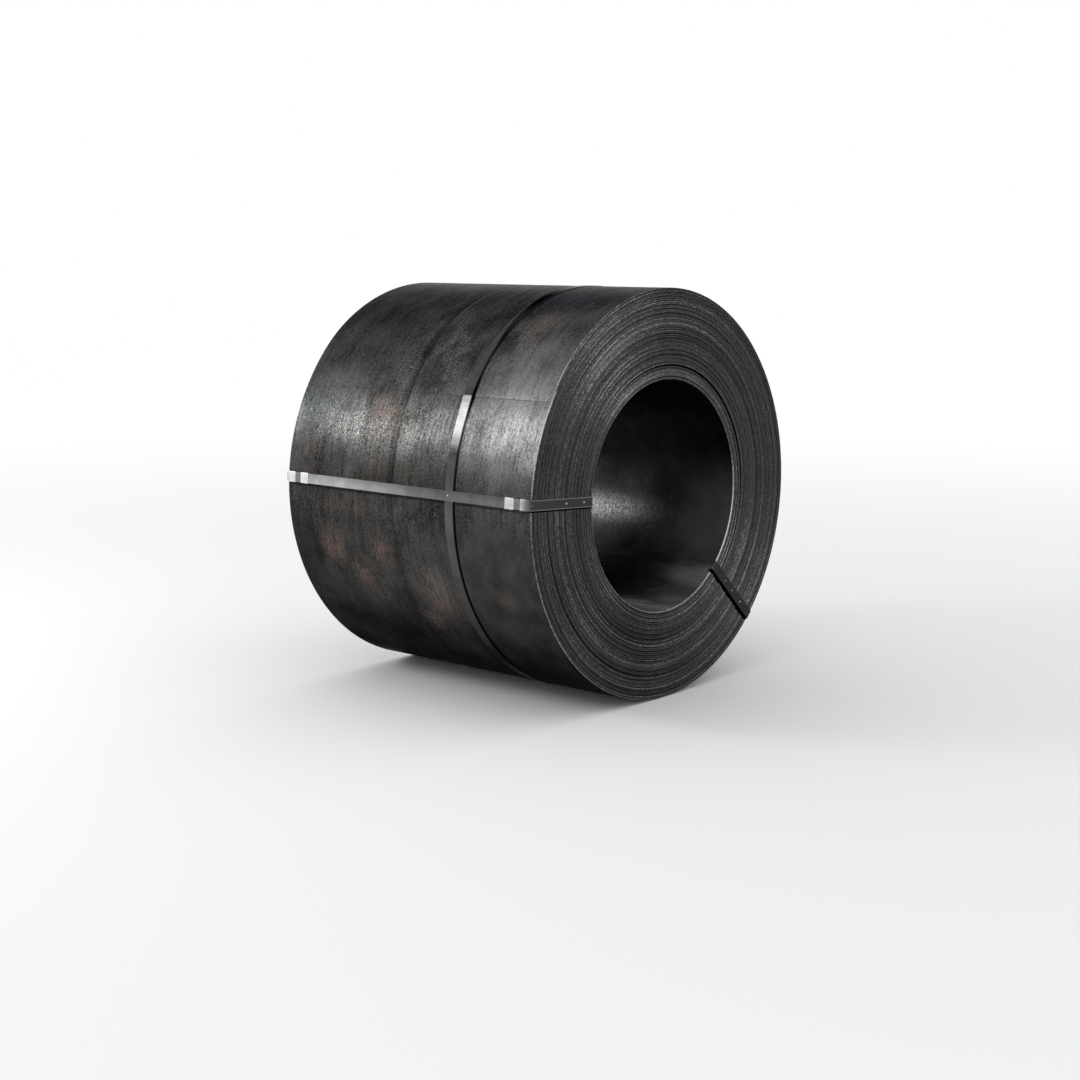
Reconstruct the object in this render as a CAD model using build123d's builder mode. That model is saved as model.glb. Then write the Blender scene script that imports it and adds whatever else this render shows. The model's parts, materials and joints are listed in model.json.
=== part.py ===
from build123d import *
import os
from math import acos, atan2, cos, degrees, hypot, radians, sin, sqrt

# Strapped steel coil: hot-rolled strip wound on a round mandrel, tied with one belly strap round the outside
# and two eye straps through the bore. Lengths are in millimetres and angles in degrees.
# The coil lies on its side with its bore along Y and +Z up. The origin is on the floor under its middle.
# Angles round the bore run from +X towards +Z. The near end of the coil faces -Y.

# Coil
coil_outer_diameter = 900
bore_diameter = 508
strip_width = 724
strip_thickness = 4.5
side_wander = 6  # room that the turns take up by running off sideways while they were wound
tail_angle = 149  # where the outer end of the strip lies
# Sideways place of each group of turns, from the bore outwards: 0 is proud at the near end, 1 at the far end
ledge_shares = (0.15, 0, 0.85, 0.45, 0.65, 0.35, 0.7, 0.5, 0.3, 0.6, 1, 0.55, 0.25)

# Straps
strap_thickness = 0.8
strap_clearance = 0.1  # between a strap and what it lies on
strap_bend_radius = 0.8  # inside of the bends at the coil's edges
belly_strap_width = 25
belly_strap_offset = 138  # from the coil's middle towards the near end
eye_strap_width = 22
side_strap_angle = 176.6
lower_strap_angle = 316

# Crimped seals: folded sleeves that close the straps
seal_length = 66
seal_wall = 0.8
seal_corner_radius = 0.6
seal_seam = 6  # gap between the two folded legs
seal_edge_gap = 4  # from the coil's edge to the seals of the eye straps
crimp_width = 16
crimp_depth = 0.4
belly_seal_angle = 30

cut_overrun = 5  # how far blanks reach past the faces that trim them
half_turn = 180

# Worked out from the sizes above
outer_radius = coil_outer_diameter / 2
bore_radius = bore_diameter / 2
coil_width = strip_width + side_wander
turn_count = int((outer_radius - bore_radius) / strip_thickness)
# The outside is two half circles: one turn climbs by the strip's thickness between its two ends
wrap_offset = strip_thickness / 2
lower_wrap_radius = outer_radius - wrap_offset
strap_seat_radius = outer_radius + strap_clearance
lower_seat_radius = lower_wrap_radius + strap_clearance
# The belly strap touches the floor under the coil
axis_height = lower_seat_radius + strap_thickness + wrap_offset * sin(radians(tail_angle))
# An eye strap passes over the belly strap and over the folded legs of its seals
eye_strap_lift = strap_clearance + max(strap_thickness, seal_wall) + strap_clearance
end_seat = coil_width / 2 + strap_clearance
bore_seat_radius = sqrt(bore_radius**2 - (eye_strap_width / 2) ** 2) - strap_clearance

bore_axis = Axis((0, 0, axis_height), (0, 1, 0))
section_plane = Plane((0, 0, axis_height), x_dir=(1, 0, 0), z_dir=(0, 0, 1))
middle_plane = Plane((0, 0, axis_height), x_dir=(1, 0, 0), z_dir=(0, -1, 0))


def polar(radius, angle):
    """Point of a sketch that looks along the bore."""
    return (radius * cos(radians(angle)), radius * sin(radians(angle)))


def outward(angle):
    """Direction away from the bore axis."""
    return Vector(cos(radians(angle)), 0, sin(radians(angle)))


def place(radius, angle, along):
    """Point in space, given round and along the bore axis."""
    return Vector(0, along, axis_height) + outward(angle) * radius


def wrap_radius(angle):
    """Distance from the bore axis to the outside of the coil."""
    past_tail = (angle - tail_angle) % (2 * half_turn)
    if past_tail >= half_turn:
        return outer_radius
    sideways = wrap_offset * sin(radians(past_tail))
    return sqrt(lower_wrap_radius**2 - sideways**2) - wrap_offset * cos(radians(past_tail))


def ledge_radius(number):
    """Inner radius of a group of turns. Each group is a whole number of turns."""
    return bore_radius + strip_thickness * round(number * turn_count / len(ledge_shares))


os.makedirs("parts", exist_ok=True)

# Coil: a turned blank with stepped ends, trimmed to the outline of the outer turn and its tail
near_points = []
far_points = []
for number, share in enumerate(ledge_shares):
    ledge_end = ledge_radius(number + 1)
    if number + 1 == len(ledge_shares):
        ledge_end = outer_radius + cut_overrun
    near_place = side_wander * share - coil_width / 2
    for radius in (ledge_radius(number), ledge_end):
        near_points.append((radius, near_place))
        far_points.append((radius, near_place + strip_width))

lower_centre = polar(wrap_offset, tail_angle + half_turn)
with BuildPart() as coil:
    with BuildSketch(section_plane):
        with BuildLine():
            Polyline(*near_points, *reversed(far_points), close=True)
        make_face()
    revolve(axis=bore_axis)
    with BuildSketch(middle_plane):
        with BuildLine():
            upper_wrap = CenterArc((0, 0), outer_radius, tail_angle - half_turn, half_turn)
            lower_wrap = CenterArc(lower_centre, lower_wrap_radius, tail_angle, half_turn)
            Line(upper_wrap @ 1, lower_wrap @ 0)
        make_face()
    extrude(amount=coil_width, both=True, mode=Mode.INTERSECT)
coil.part.label = "coil"
export_step(coil.part, "parts/coil.step")

# Belly strap: pulled tight, so it runs straight from the tail's edge to the turn below and over its seal
tail_bridge_angle = degrees(acos(lower_seat_radius / (strap_seat_radius + wrap_offset)))
seal_seat_radius = strap_seat_radius + seal_wall + strap_clearance
seal_end_radius = hypot(seal_seat_radius, seal_length / 2)
seal_half_angle = degrees(atan2(seal_length / 2, seal_seat_radius))
lift_half_angle = seal_half_angle + degrees(acos(strap_seat_radius / seal_end_radius))
before_seal = belly_seal_angle - lift_half_angle
after_seal = belly_seal_angle + lift_half_angle
belly_plane = middle_plane.offset(belly_strap_offset)
with BuildPart() as belly_strap:
    with BuildSketch(belly_plane):
        with BuildLine() as belly_seat:
            first_arc = CenterArc(
                (0, 0), strap_seat_radius, tail_angle - half_turn, before_seal - tail_angle + half_turn
            )
            second_arc = CenterArc((0, 0), strap_seat_radius, after_seal, tail_angle - after_seal)
            Polyline(
                first_arc @ 1,
                polar(seal_end_radius, belly_seal_angle - seal_half_angle),
                polar(seal_end_radius, belly_seal_angle + seal_half_angle),
                second_arc @ 0,
            )
            lower_arc = CenterArc(
                lower_centre, lower_seat_radius, tail_angle + tail_bridge_angle, half_turn - tail_bridge_angle
            )
            Line(second_arc @ 1, lower_arc @ 0)
        make_face()
        offset(amount=strap_thickness, kind=Kind.INTERSECTION)
        make_face(belly_seat.edges(), mode=Mode.SUBTRACT)
    extrude(amount=belly_strap_width / 2, both=True)
belly_strap.part.label = "belly_strap"
export_step(belly_strap.part, "parts/belly_strap.step")


def make_seal(label, run_plane, strap_width):
    """Sleeve round a strap. The plane lies in the middle of the strap, with x along it and z outward."""
    inner_width = strap_width + 2 * strap_clearance
    inner_height = strap_thickness + 2 * strap_clearance
    outer_width = inner_width + 2 * seal_wall
    outer_height = inner_height + 2 * seal_wall
    with BuildPart() as seal:
        with BuildSketch(Plane(run_plane.origin, x_dir=run_plane.y_dir, z_dir=run_plane.x_dir)):
            RectangleRounded(outer_width, outer_height, seal_corner_radius)
            Rectangle(inner_width, inner_height, mode=Mode.SUBTRACT)
            with Locations((0, -(inner_height + seal_wall) / 2)):
                Rectangle(seal_seam, seal_wall, mode=Mode.SUBTRACT)
        extrude(amount=seal_length / 2, both=True)
        with BuildSketch(run_plane.offset(outer_height / 2)):
            Rectangle(crimp_width, outer_width)
        extrude(amount=-crimp_depth, mode=Mode.SUBTRACT)
    seal.part.label = label
    export_step(seal.part, f"parts/{label}.step")


def make_eye_strap(label, angle):
    """Strap loop in a plane through the bore axis, with a seal beside each edge of the coil."""
    seat_radius = wrap_radius(angle) + eye_strap_lift
    loop_depth = seat_radius - bore_seat_radius
    loop_width = 2 * end_seat
    loop_origin = place((seat_radius + bore_seat_radius) / 2, angle, 0)
    with BuildPart() as strap:
        with BuildSketch(Plane(loop_origin, x_dir=outward(angle), z_dir=outward(angle).cross(Vector(0, 1, 0)))):
            RectangleRounded(loop_depth, loop_width, strap_bend_radius)
            offset(amount=strap_thickness)
            RectangleRounded(loop_depth, loop_width, strap_bend_radius, mode=Mode.SUBTRACT)
        extrude(amount=eye_strap_width / 2, both=True)
    strap.part.label = label
    export_step(strap.part, f"parts/{label}.step")
    seal_along = (coil_width - seal_length) / 2 - seal_edge_gap
    for end, along in (("near", -seal_along), ("far", seal_along)):
        seal_origin = place(seat_radius + strap_thickness / 2, angle, along)
        seal_plane = Plane(seal_origin, x_dir=(0, 1, 0), z_dir=outward(angle))
        make_seal(f"{label}_{end}_seal", seal_plane, eye_strap_width)


# Eye straps, each with its two seals
make_eye_strap("side_eye_strap", side_strap_angle)
make_eye_strap("lower_eye_strap", lower_strap_angle)

# Seal of the belly strap, on the back of the coil
belly_seal_origin = place(seal_seat_radius + strap_thickness / 2, belly_seal_angle, -belly_strap_offset)
belly_seal_plane = Plane(
    belly_seal_origin, x_dir=outward(belly_seal_angle + half_turn / 2), z_dir=outward(belly_seal_angle)
)
make_seal("belly_strap_seal", belly_seal_plane, belly_strap_width)
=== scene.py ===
import json
import math
from functools import partial, partialmethod

import bpy
import numpy
from mathutils import Matrix, Vector


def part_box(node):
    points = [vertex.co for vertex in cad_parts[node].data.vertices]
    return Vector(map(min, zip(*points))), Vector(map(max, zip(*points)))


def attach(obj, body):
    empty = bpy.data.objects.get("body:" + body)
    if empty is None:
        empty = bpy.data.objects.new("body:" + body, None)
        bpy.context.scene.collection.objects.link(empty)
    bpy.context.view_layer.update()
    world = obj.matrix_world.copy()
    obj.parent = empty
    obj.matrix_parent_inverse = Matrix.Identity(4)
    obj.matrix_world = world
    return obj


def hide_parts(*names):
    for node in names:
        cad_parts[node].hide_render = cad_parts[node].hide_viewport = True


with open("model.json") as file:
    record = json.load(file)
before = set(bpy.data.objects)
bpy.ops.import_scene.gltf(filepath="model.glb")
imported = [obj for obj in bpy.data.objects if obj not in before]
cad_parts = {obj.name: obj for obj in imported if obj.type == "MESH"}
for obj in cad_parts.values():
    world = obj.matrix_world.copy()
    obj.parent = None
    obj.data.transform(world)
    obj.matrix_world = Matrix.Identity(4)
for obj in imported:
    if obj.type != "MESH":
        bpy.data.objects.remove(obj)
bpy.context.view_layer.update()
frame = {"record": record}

# Strapped steel coil. Lengths are in metres, and angles round the bore in degrees, from +X towards +Z.

# Sizes that the frame gives
millimetre = 0.001
bore_mount = frame["record"]["mounts"][0]
bore_radius = bore_mount["dims"]["r_mm"] * millimetre
axis_height = bore_mount["pos_m"][2]
coil_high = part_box("coil")[1]
outer_radius = coil_high.x
coil_half_width = coil_high.y
belly_low, belly_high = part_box("belly_strap")
belly_place = (belly_low.y + belly_high.y) / 2
belly_strap_width = belly_high.y - belly_low.y

# Sizes that repeat the part's own
strip_thickness = 4.5 * millimetre
tail_angle = 149
ledge_shares = (0.15, 0, 0.85, 0.45, 0.65, 0.35, 0.7, 0.5, 0.3, 0.6, 1, 0.55, 0.25)
turn_count = 43
strap_thickness = 0.8 * millimetre
strap_clearance = 0.1 * millimetre
eye_strap_width = 22 * millimetre
side_strap_angle = 176.6
lower_strap_angle = 316
seal_length = 66 * millimetre
seal_wall = 0.8 * millimetre
seal_seam = 6 * millimetre
seal_edge_gap = 4 * millimetre
crimp_width = 16 * millimetre
belly_seal_angle = 30
wrap_offset = strip_thickness / 2
lower_wrap_radius = outer_radius - wrap_offset

# Directions and angles
rightward = Vector((1, 0, 0))
lengthwise = Vector((0, 1, 0))
upward = Vector((0, 0, 1))
bore_axis = Vector((0, 0, axis_height))
quarter_turn = 90
half_turn = 180
full_turn = 360
outer_half_round = math.pi * outer_radius

# Wound strip
head_angle = 172
head_gap_angle = 0.12
bore_end = head_angle + full_turn
tail_turn = tail_angle + full_turn * turn_count
outer_overlap_angle = 3
turn_segments = 200
outer_divisions = 44
bore_divisions = 20
strip_gauge = 4.2 * millimetre
gap_wander = 0.13 * millimetre
end_inset = 0.5 * millimetre
end_wander = 2.4 * millimetre
edge_chamfer = 0.35 * millimetre
edge_tilt = 0.6 * millimetre
rim_chamfer = 1.4 * millimetre
corner_limit_share = 1 / 3
coil_sharp_angle = 32
face_kind = 0
edge_kind = 1
run_kinds = (edge_kind, face_kind, edge_kind, face_kind)
# Its tail
scarf_angle = 8
scarf_toe = 0.6 * millimetre
feather_angle = 22
feather_toe = 0.15 * millimetre
feather_reach = 60 * millimetre
tail_settle_angle = 60
# Crease and shallow waves of the outer turn. Waves: rate round the coil, rate along it
crease_place = 35.5 * millimetre
crease_slope = 0.01375
crease_depth = 0.45 * millimetre
crease_reach = 7 * millimetre
wave_depth = 0.35 * millimetre
wave_rates = ((2, 3.1), (5, -5.3), (9, 9.7), (3, 15.1))
wave_fade_rate = 8
wave_seed = 16
# Smooth wander along the strip: seed, number of knots
ledge_knots = (11, 61)
single_knots = (12, 330)
tilt_knots = (13, 70)
group_tone_knots = (14, 57)
single_tone_knots = (15, 150)
gap_knots = (17, 61)
seam_knots = (19, 140)
# Sideways place of the turns, as shares of the end wander
part_ledge_share = 0.45
ledge_wander_share = 0.38
single_wander_share = 0.1
# Seams between the turns
seam_seed = 18
seam_count = turn_count + 2
odd_seam_count = 9
open_seam_range = (0.7, 1)
tight_seam_range = (0, 0.3)
seam_opening = 1.4 * millimetre
seam_base_share = 0.8
seam_wander_share = 0.2
closed_arc = (300, 55)
closed_share = 0.35
lip_lift = 1.0
# Loose turns that open a dark gap on the ends: turn, middle of the arc, half the arc, width of the gap
loose_turns = (
    (6, 35, 180, 4.2 * millimetre),
    (38, 75, 70, 1.0 * millimetre),
    (23, 45, 60, 0.9 * millimetre),
    (11, 240, 75, 1.6 * millimetre),
    (5, 222, 55, 1.2 * millimetre),
    (30, 225, 50, 1.0 * millimetre),
)
# Arcs of the ends, middle, half the arc and gain: where the turns stand out more or less, where painted
# highlights brighten the edges, and where painted highlights lie on the outer and the bore's rims
contrast_arcs = ((228, 46, 0.7), (268, 40, 0.2), (15, 50, -0.45), (152, 28, -0.4))
edge_highlight_arcs = ((122, 43, 1.35), (325, 52, 0.9), (75, 40, 0.5), (219, 28, 0.3), (268, 35, 0.35))
rim_highlight_arcs = ((158, 34, 0.95), (208, 42, 0.4))
bore_rim_highlight_arcs = ((340, 46, 0.75),)
# Base and gain of the painted highlights on the rims, and their shares on the face and at the far end
rim_highlight_base = 0.05
bore_rim_highlight_base = 0.25
rim_highlight_gain = 4.5
rim_highlight_face_share = 0.7
far_rim_highlight_share = 0.25
group_tone = 0.35
single_tone = 0.75
inner_tone = 0.3
inner_tone_turns = 6

# Straps and seals
belly_share = 0.97
eye_share = 0.9
strap_roll_share = 0.3
belly_margin = 1.5 * millimetre
eye_margin = 4 * millimetre
eye_bend = 1.0 * millimetre
eye_bend_step = 18
arc_step = 1.8
belly_sharp_angle = 24
fitting_sharp_angle = 30
seal_round = 0.6 * millimetre
seal_round_step = 30
seal_edge = 0.2 * millimetre
seal_trim = 0.12 * millimetre
crimp_slope = 1.2 * millimetre
crimp_ease = 0.8 * millimetre
press_depth = 0.42 * millimetre
squeeze_depth = 1.1 * millimetre
# Pips on the straps. Rings: shares of the radius and of the height. Pips: distance from the axis, share
pip_radius = 2.1 * millimetre
pip_height = 0.42 * millimetre
pip_rings = ((1, 0), (0.8, 0.62), (0.45, 0.9))
pip_sides = 12
side_pips = ((0.443, 0.45), (0.337, 1), (0.281, 0.9))
lower_pips = ((0.398, 1), (0.353, 0.7), (0.315, 0.6))
crossing_pip_offset = 4 * millimetre
crossing_pip_share = 0.55


def grey(level):
    """Neutral colour."""
    return (level, level, level, 1)


# Colours of the mill scale
scale_dark = (0.021, 0.0215, 0.0220, 1)
scale_middle = (0.043, 0.044, 0.043, 1)
scale_light = (0.072, 0.072, 0.069, 1)
blue_scale = (0.026, 0.030, 0.035, 1)
brown_scale = (0.045, 0.035, 0.028, 1)
worn_colour = (0.10, 0.10, 0.098, 1)
pit_colour = grey(0.006)
salt_colour = grey(0.13)
speck_colour = (0.34, 0.34, 0.33, 1)
rust_dark = (0.040, 0.028, 0.024, 1)
rust_light = (0.112, 0.077, 0.061, 1)
rust_red = (0.092, 0.053, 0.046, 1)
rust_flake = (0.25, 0.21, 0.165, 1)
drip_colour = (0.105, 0.092, 0.075, 1)
# Painted highlight and lighter worn ground, stains and painted shade, painted shade of the underside, and a
# painted highlight in the bore
highlight_and_wear_colour = (0.185, 0.186, 0.187, 1)
stain_and_shade_colour = grey(0.013)
underside_shade_colour = (0.004, 0.004, 0.0045, 1)
bore_highlight_colour = (0.16, 0.158, 0.155, 1)
film_colour = (0.050, 0.052, 0.052, 1)
dust_colour = (0.19, 0.186, 0.172, 1)
# Painted highlight on the crease
crease_highlight_colour = (0.15, 0.15, 0.148, 1)
# Black for painted shade and painted shadows
painted_shade_black = grey(0.004)
grazing_tint = (0.42, 0.42, 0.43, 1)
# Grazing reflection darkened on the underside, as painted shade
underside_shade_tint = (0.28, 0.28, 0.29, 1)
# Colours of the cut edges: black for painted shadows beside the straps, then from dark to bright; painted
# highlights raise the tone towards the bright end
edge_painted_shade_black = grey(0.001)
edge_stops = (
    (0.03, (0.007, 0.0075, 0.007, 1)),
    (0.25, (0.031, 0.033, 0.031, 1)),
    (0.50, (0.090, 0.093, 0.089, 1)),
    (0.80, (0.600, 0.605, 0.60, 1)),
)
# Colours of the straps, the seals and the floor
strap_shade = grey(0.03)
belly_colour = (0.088, 0.088, 0.090, 1)
# Painted shade over parts of the belly strap's highlight
belly_highlight_shade = grey(0.02)
belly_low_colour = grey(0.012)
# Painted shade along the belly strap's near edge
belly_edge_shade_dark = grey(0.012)
belly_edge_shade_light = grey(0.070)
# Eye straps: painted highlight at the far end, painted shade on the ends and painted highlights along their
# edges
eye_far_highlight_colour = grey(0.46)
eye_near_colour = (0.14, 0.14, 0.142, 1)
eye_end_shade_colour = (0.046, 0.047, 0.046, 1)
eye_rim_highlight_colour = grey(0.15)
eye_low_colour = grey(0.012)
seal_stops = ((0.3, grey(0.60)), (0.6, (0.74, 0.74, 0.73, 1)))
seal_press_colour = grey(0.15)
seal_dark_colour = grey(0.09)
floor_stops = ((0, grey(0.82)), (1, grey(1)))

# Textures: cells to a metre in x, y and z, detail, roughness, shift
grain_texture = ((300, 340, 300), 2.0, 0.5, 0)
grit_texture = ((150, 190, 150), 4.0, 0.7, 31)
streak_texture = ((10, 130, 10), 3.0, 0.6, 5)
blotch_texture = ((15, 18, 15), 4.0, 0.62, 41)
cloud_texture = ((4.5, 5.5, 4.5), 4.0, 0.6, 9)
hue_texture = ((3.4, 5.5, 3.4), 3.0, 0.6, 17)
sparkle_texture = ((430, 430, 430), 1.0, 0.5, 53)
breakup_texture = ((30, 42, 30), 6.0, 0.72, 23)
edge_grain_texture = ((330, 330, 330), 3.0, 0.6, 0)
edge_mark_texture = ((70, 1, 1), 4.0, 0.7, 3)
edge_cloud_texture = ((7, 7, 7), 3.0, 0.6, 7)
dust_texture = ((28, 5, 28), 4.0, 0.6, 12)
film_texture = ((7, 4, 7), 4.0, 0.6, 27)
fray_texture = ((60, 60, 60), 3.0, 0.6, 61)
strap_smear_texture = ((26, 26, 26), 3.0, 0.55, 0)
strap_scuff_texture = ((300, 40, 300), 3.0, 0.6, 4)
seal_smear_texture = ((70, 70, 70), 3.0, 0.55, 0)
seal_scuff_texture = ((500, 120, 500), 3.0, 0.6, 4)
shift_shares = (1, 0.7, 0.3)
# Bumps: strength, depth
grain_bump = (0.5, 0.28 * millimetre)
fleck_bump = (0.4, 0.5 * millimetre)
streak_bump = (0.15, 0.6 * millimetre)
edge_bump = (0.25, 0.5 * millimetre)
scuff_bump = (0.05, 0.3 * millimetre)
# Roughness at the low and the high end of a texture
scale_roughness = (0.43, 0.30)
edge_roughness = (0.58, 0.40)
belly_roughness = (0.10, 0.21)
eye_roughness = (0.29, 0.40)
seal_roughness = (0.24, 0.36)
powder_metallic = 0.1

# Patches on the outer turn, placed as on the photographed coil: angle, along, half sizes, weight
rust_patches = (
    (195, 0.235, 9, 0.062, 1.0),
    (195, 0.080, 9, 0.058, 1.0),
    (203, 0.155, 9, 0.060, 1.0),
    (207, -0.060, 16, 0.090, 1.0),
    (216, -0.020, 9, 0.070, 0.8),
    (158, 0.060, 9, 0.070, 0.4),
    (204, -0.260, 6, 0.050, 0.5),
    (183, 0.175, 5, 0.100, 0.6),
    (124, -0.225, 12, 0.070, 0.75),
    (155, 0.105, 7, 0.050, 0.6),
    (170, 0.300, 7, 0.050, 0.4),
)
# Painted highlights on the outer turn, and lighter worn ground
highlight_and_wear_patches = (
    (151, -0.310, 36, 0.25, 1.0),
    (165, -0.345, 9, 0.09, 1.0),
    (159, -0.095, 17, 0.06, 0.30),
    (138, 0.000, 9, 0.06, 0.14),
    (215, -0.010, 9, 0.07, 0.16),
    (147, 0.270, 8, 0.13, 0.28),
    (97, 0.080, 9, 0.30, 0.30),
    (122, -0.295, 12, 0.15, 0.22),
    (123, 0.060, 13, 0.14, 0.12),
    (204, -0.050, 19, 0.13, 0.24),
    (212, -0.280, 26, 0.16, 0.20),
    (130, -0.090, 17, 0.05, 0.10),
)
# Stains, and painted shade where the ground is darker
stain_and_shade_patches = (
    (122, 0.235, 17, 0.15, 0.30),
    (134, 0.070, 10, 0.06, 0.25),
    (163, 0.315, 8, 0.07, 0.40),
    (187, 0.165, 4, 0.05, 0.35),
    (200, 0.330, 24, 0.07, 0.45),
    (199, 0.290, 10, 0.03, 0.7),
    (224, 0.250, 20, 0.24, 0.75),
    (171, -0.310, 5, 0.035, 0.25),
)
speck_patches = (
    (137, 0.000, 20, 0.17, 1.0),
    (133, -0.220, 18, 0.13, 0.7),
    (160, 0.100, 15, 0.32, 0.7),
    (205, -0.040, 18, 0.10, 0.35),
)
drip_patches = ((187, 0.170, 10, 0.12, 0.6), (170, 0.110, 11, 0.15, 0.6))
calm_patches = ((207, -0.262, 34, 0.19, 1.0),)
# Painted shade at the far lower end
low_far_shade_patches = ((244, 0.340, 15, 0.22, 1.0),)
# Angles where the painted shade of the underside begins and becomes full, and where it has faded out and
# where it is still full
underside_shade_start_angles = (221, 252)
underside_shade_end_angles = (333, 295)
# Patches on the wall of the bore
dust_patches = ((-52, -0.370, 13, 0.21, 0.9), (-84, -0.370, 21, 0.36, 1.0))
# Painted highlights on the bore's wall
bore_highlight_patches = ((-18, 0.000, 12, 0.32, 1.0), (-20, -0.370, 24, 0.06, 0.6), (-24, -0.220, 22, 0.16, 0.3))
# Painted shade above the highlight on the bore's wall
bore_shade_patches = ((14, 0.020, 20, 0.36, 1.0),)

# Lengths back from the tail, counted as on the outer turn, where the bore's look begins and is full, and
# where the outer turn ends
bore_turn_lengths = (20.0, 30.0)
outer_turn_lengths = (2.90, 2.84)
# Heights over the bore axis, where a look begins and where it is full
calm_heights = (-0.02, -0.12)
film_heights = (0.10, -0.08)
belly_strap_shadow_heights = (0.33, 0)
crease_shadow_line_heights = (-0.02, 0.05)
crease_shade_heights = (-0.04, 0.05)
crease_highlight_heights = (0.33, 0.40)
belly_edge_shade_top_heights = (0.34, 0.40)
belly_high_heights = (0.245, 0.27)
belly_low_heights = (-0.28, -0.36)
eye_low_heights = (0, -0.1)
# Places along the bore axis, where a look begins and where it is full
film_ends = (-0.12, -0.30)
eye_highlight_fade_ends = (0.24, -0.12)
eye_end_faces = (0.3641, 0.3645)
seal_darkening_ends = (0, -0.3)
seal_end_band_ends = (-0.364, -0.363)
coil_end_faces = (coil_half_width - 9 * millimetre, coil_half_width - 7 * millimetre)
# Lines: from, to and softness, counted from the place that each one follows
belly_strap_shadow_line = (-4 * millimetre, 3 * millimetre, 1.5 * millimetre)
side_strap_shadow_line = (-3 * millimetre, 3 * millimetre, 2 * millimetre)
side_strap_shadow_angle = side_strap_angle + 1.75
crease_shadow_line = (-1.2 * millimetre, 1.2 * millimetre, 1.5 * millimetre)
crease_shade_line = (1 * millimetre, 10 * millimetre, 14 * millimetre)
crease_highlight_line = (-4 * millimetre, -2 * millimetre, 1.5 * millimetre)
eye_rim_highlight_line = (-1.8 * millimetre, 0, 0.6 * millimetre)
# Painted shade over the belly strap's highlight, at heights over the bore axis: at the tail's edge and at its
# lower end
tail_highlight_shade_line = (0.226, 0.234, 0.03)
lower_highlight_shade_line = (0.115, 0.140, 0.018)
seal_end_band_line = (-0.363, -0.358, 0.028)
# Painted shadows beside the straps on the ends: strap, line across it, how far the line is frayed
strap_shadow_lines = (
    (lower_strap_angle, (-19 * millimetre, -4 * millimetre, 1 * millimetre), 16 * millimetre),
    (side_strap_angle, (10 * millimetre, 14 * millimetre, 1 * millimetre), 0),
)
strap_shadow_reach = (0.10, 0.12)
# Painted shade along the belly strap's near edge: heights from which it spreads over the strap, and how fast
belly_edge_shade_slopes = ((0.245, 0.04), (0.33, 0.15))
belly_edge_shade_softness = 4 * millimetre
wall_softness = 1 * millimetre

# Floor, camera and key box. The camera is fitted to the photograph, in outer diameters from the axis
floor_reach = 60
floor_fade = (1.0, 6.0)
photo_width = 1080
focal_pixels = 1840.32
sensor_width = 36
camera_azimuth = math.radians(-48.9502)
camera_elevation = math.radians(9.2518)
camera_distance = 4.7141
camera_side = -0.0003
camera_rise = 0.1488
outer_diameter = 2 * outer_radius
key_distance = 3.0
key_height = 0.85
key_radiance = 10.2
key_near_angle = 157.5
key_far_angle = 160


def soft_step(share):
    """Passes from 0 to 1 with soft ends."""
    return share * share * (3 - 2 * share)


def smooth_wander(seed_and_knots, places):
    """Smooth random values from -1 to 1, with so many knots from place 0 to place 1."""
    seed, knots = seed_and_knots
    draws = numpy.random.default_rng(seed).uniform(-1, 1, knots + 2)
    spot = numpy.clip(places, 0, 1) * knots
    index = numpy.floor(spot).astype(int)
    part = soft_step(spot - index)
    return draws[index] * (1 - part) + draws[index + 1] * part


def arc_share(angles, middle, reach):
    """1 at the middle of an arc, falling softly to 0 at its ends."""
    away = numpy.mod(angles - middle + half_turn, full_turn) - half_turn
    return numpy.cos(numpy.minimum(numpy.abs(away) / reach, 1) * math.pi / 2) ** 2


def arc_gain(angles, arcs, base=0):
    """A base value with the gains of several arcs."""
    total = base
    for middle, reach, gain in arcs:
        total = total + gain * arc_share(angles, middle, reach)
    return total


def wrap_radius(angle):
    """Distance from the bore axis to the outside of the coil, as in the part."""
    past_tail = numpy.mod(numpy.asarray(angle, float) - tail_angle, full_turn)
    turned = numpy.radians(past_tail)
    climbing = numpy.sqrt(lower_wrap_radius**2 - (wrap_offset * numpy.sin(turned)) ** 2)
    climbing = climbing - wrap_offset * numpy.cos(turned)
    return numpy.where(past_tail >= half_turn, outer_radius, climbing)


def outward(angle):
    """Direction away from the bore axis."""
    turned = math.radians(angle)
    return Vector((math.cos(turned), 0, math.sin(turned)))


def place(radius, angle, along):
    """Point in space, given round and along the bore axis."""
    return Vector((0, along, axis_height)) + outward(angle) * radius


def turned_length(angle):
    """Length along the strip from its tail back to an angle on the outer turn."""
    return math.radians((tail_angle - angle) % full_turn) * outer_radius


def add_piece(name, points, faces, nodes):
    """A mesh that replaces CAD nodes and rides with the part."""
    mesh = bpy.data.meshes.new(name)
    mesh.from_pydata([tuple(point) for point in points], [], faces)
    mesh.update()
    piece = bpy.data.objects.new(name, mesh)
    bpy.context.scene.collection.objects.link(piece)
    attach(piece, "root")
    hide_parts(*nodes)
    return piece


def shade(piece, angle):
    """Smooth shading with edges kept sharp above an angle."""
    mesh = piece.data
    mesh.polygons.foreach_set("use_smooth", [True] * len(mesh.polygons))
    mesh.set_sharp_from_angle(angle=math.radians(angle))


def carry(piece, name, values):
    """Gives a mesh a value at each of its points, for its material to read."""
    piece.data.attributes.new(name, "FLOAT", "POINT").data.foreach_set("value", values)


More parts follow.
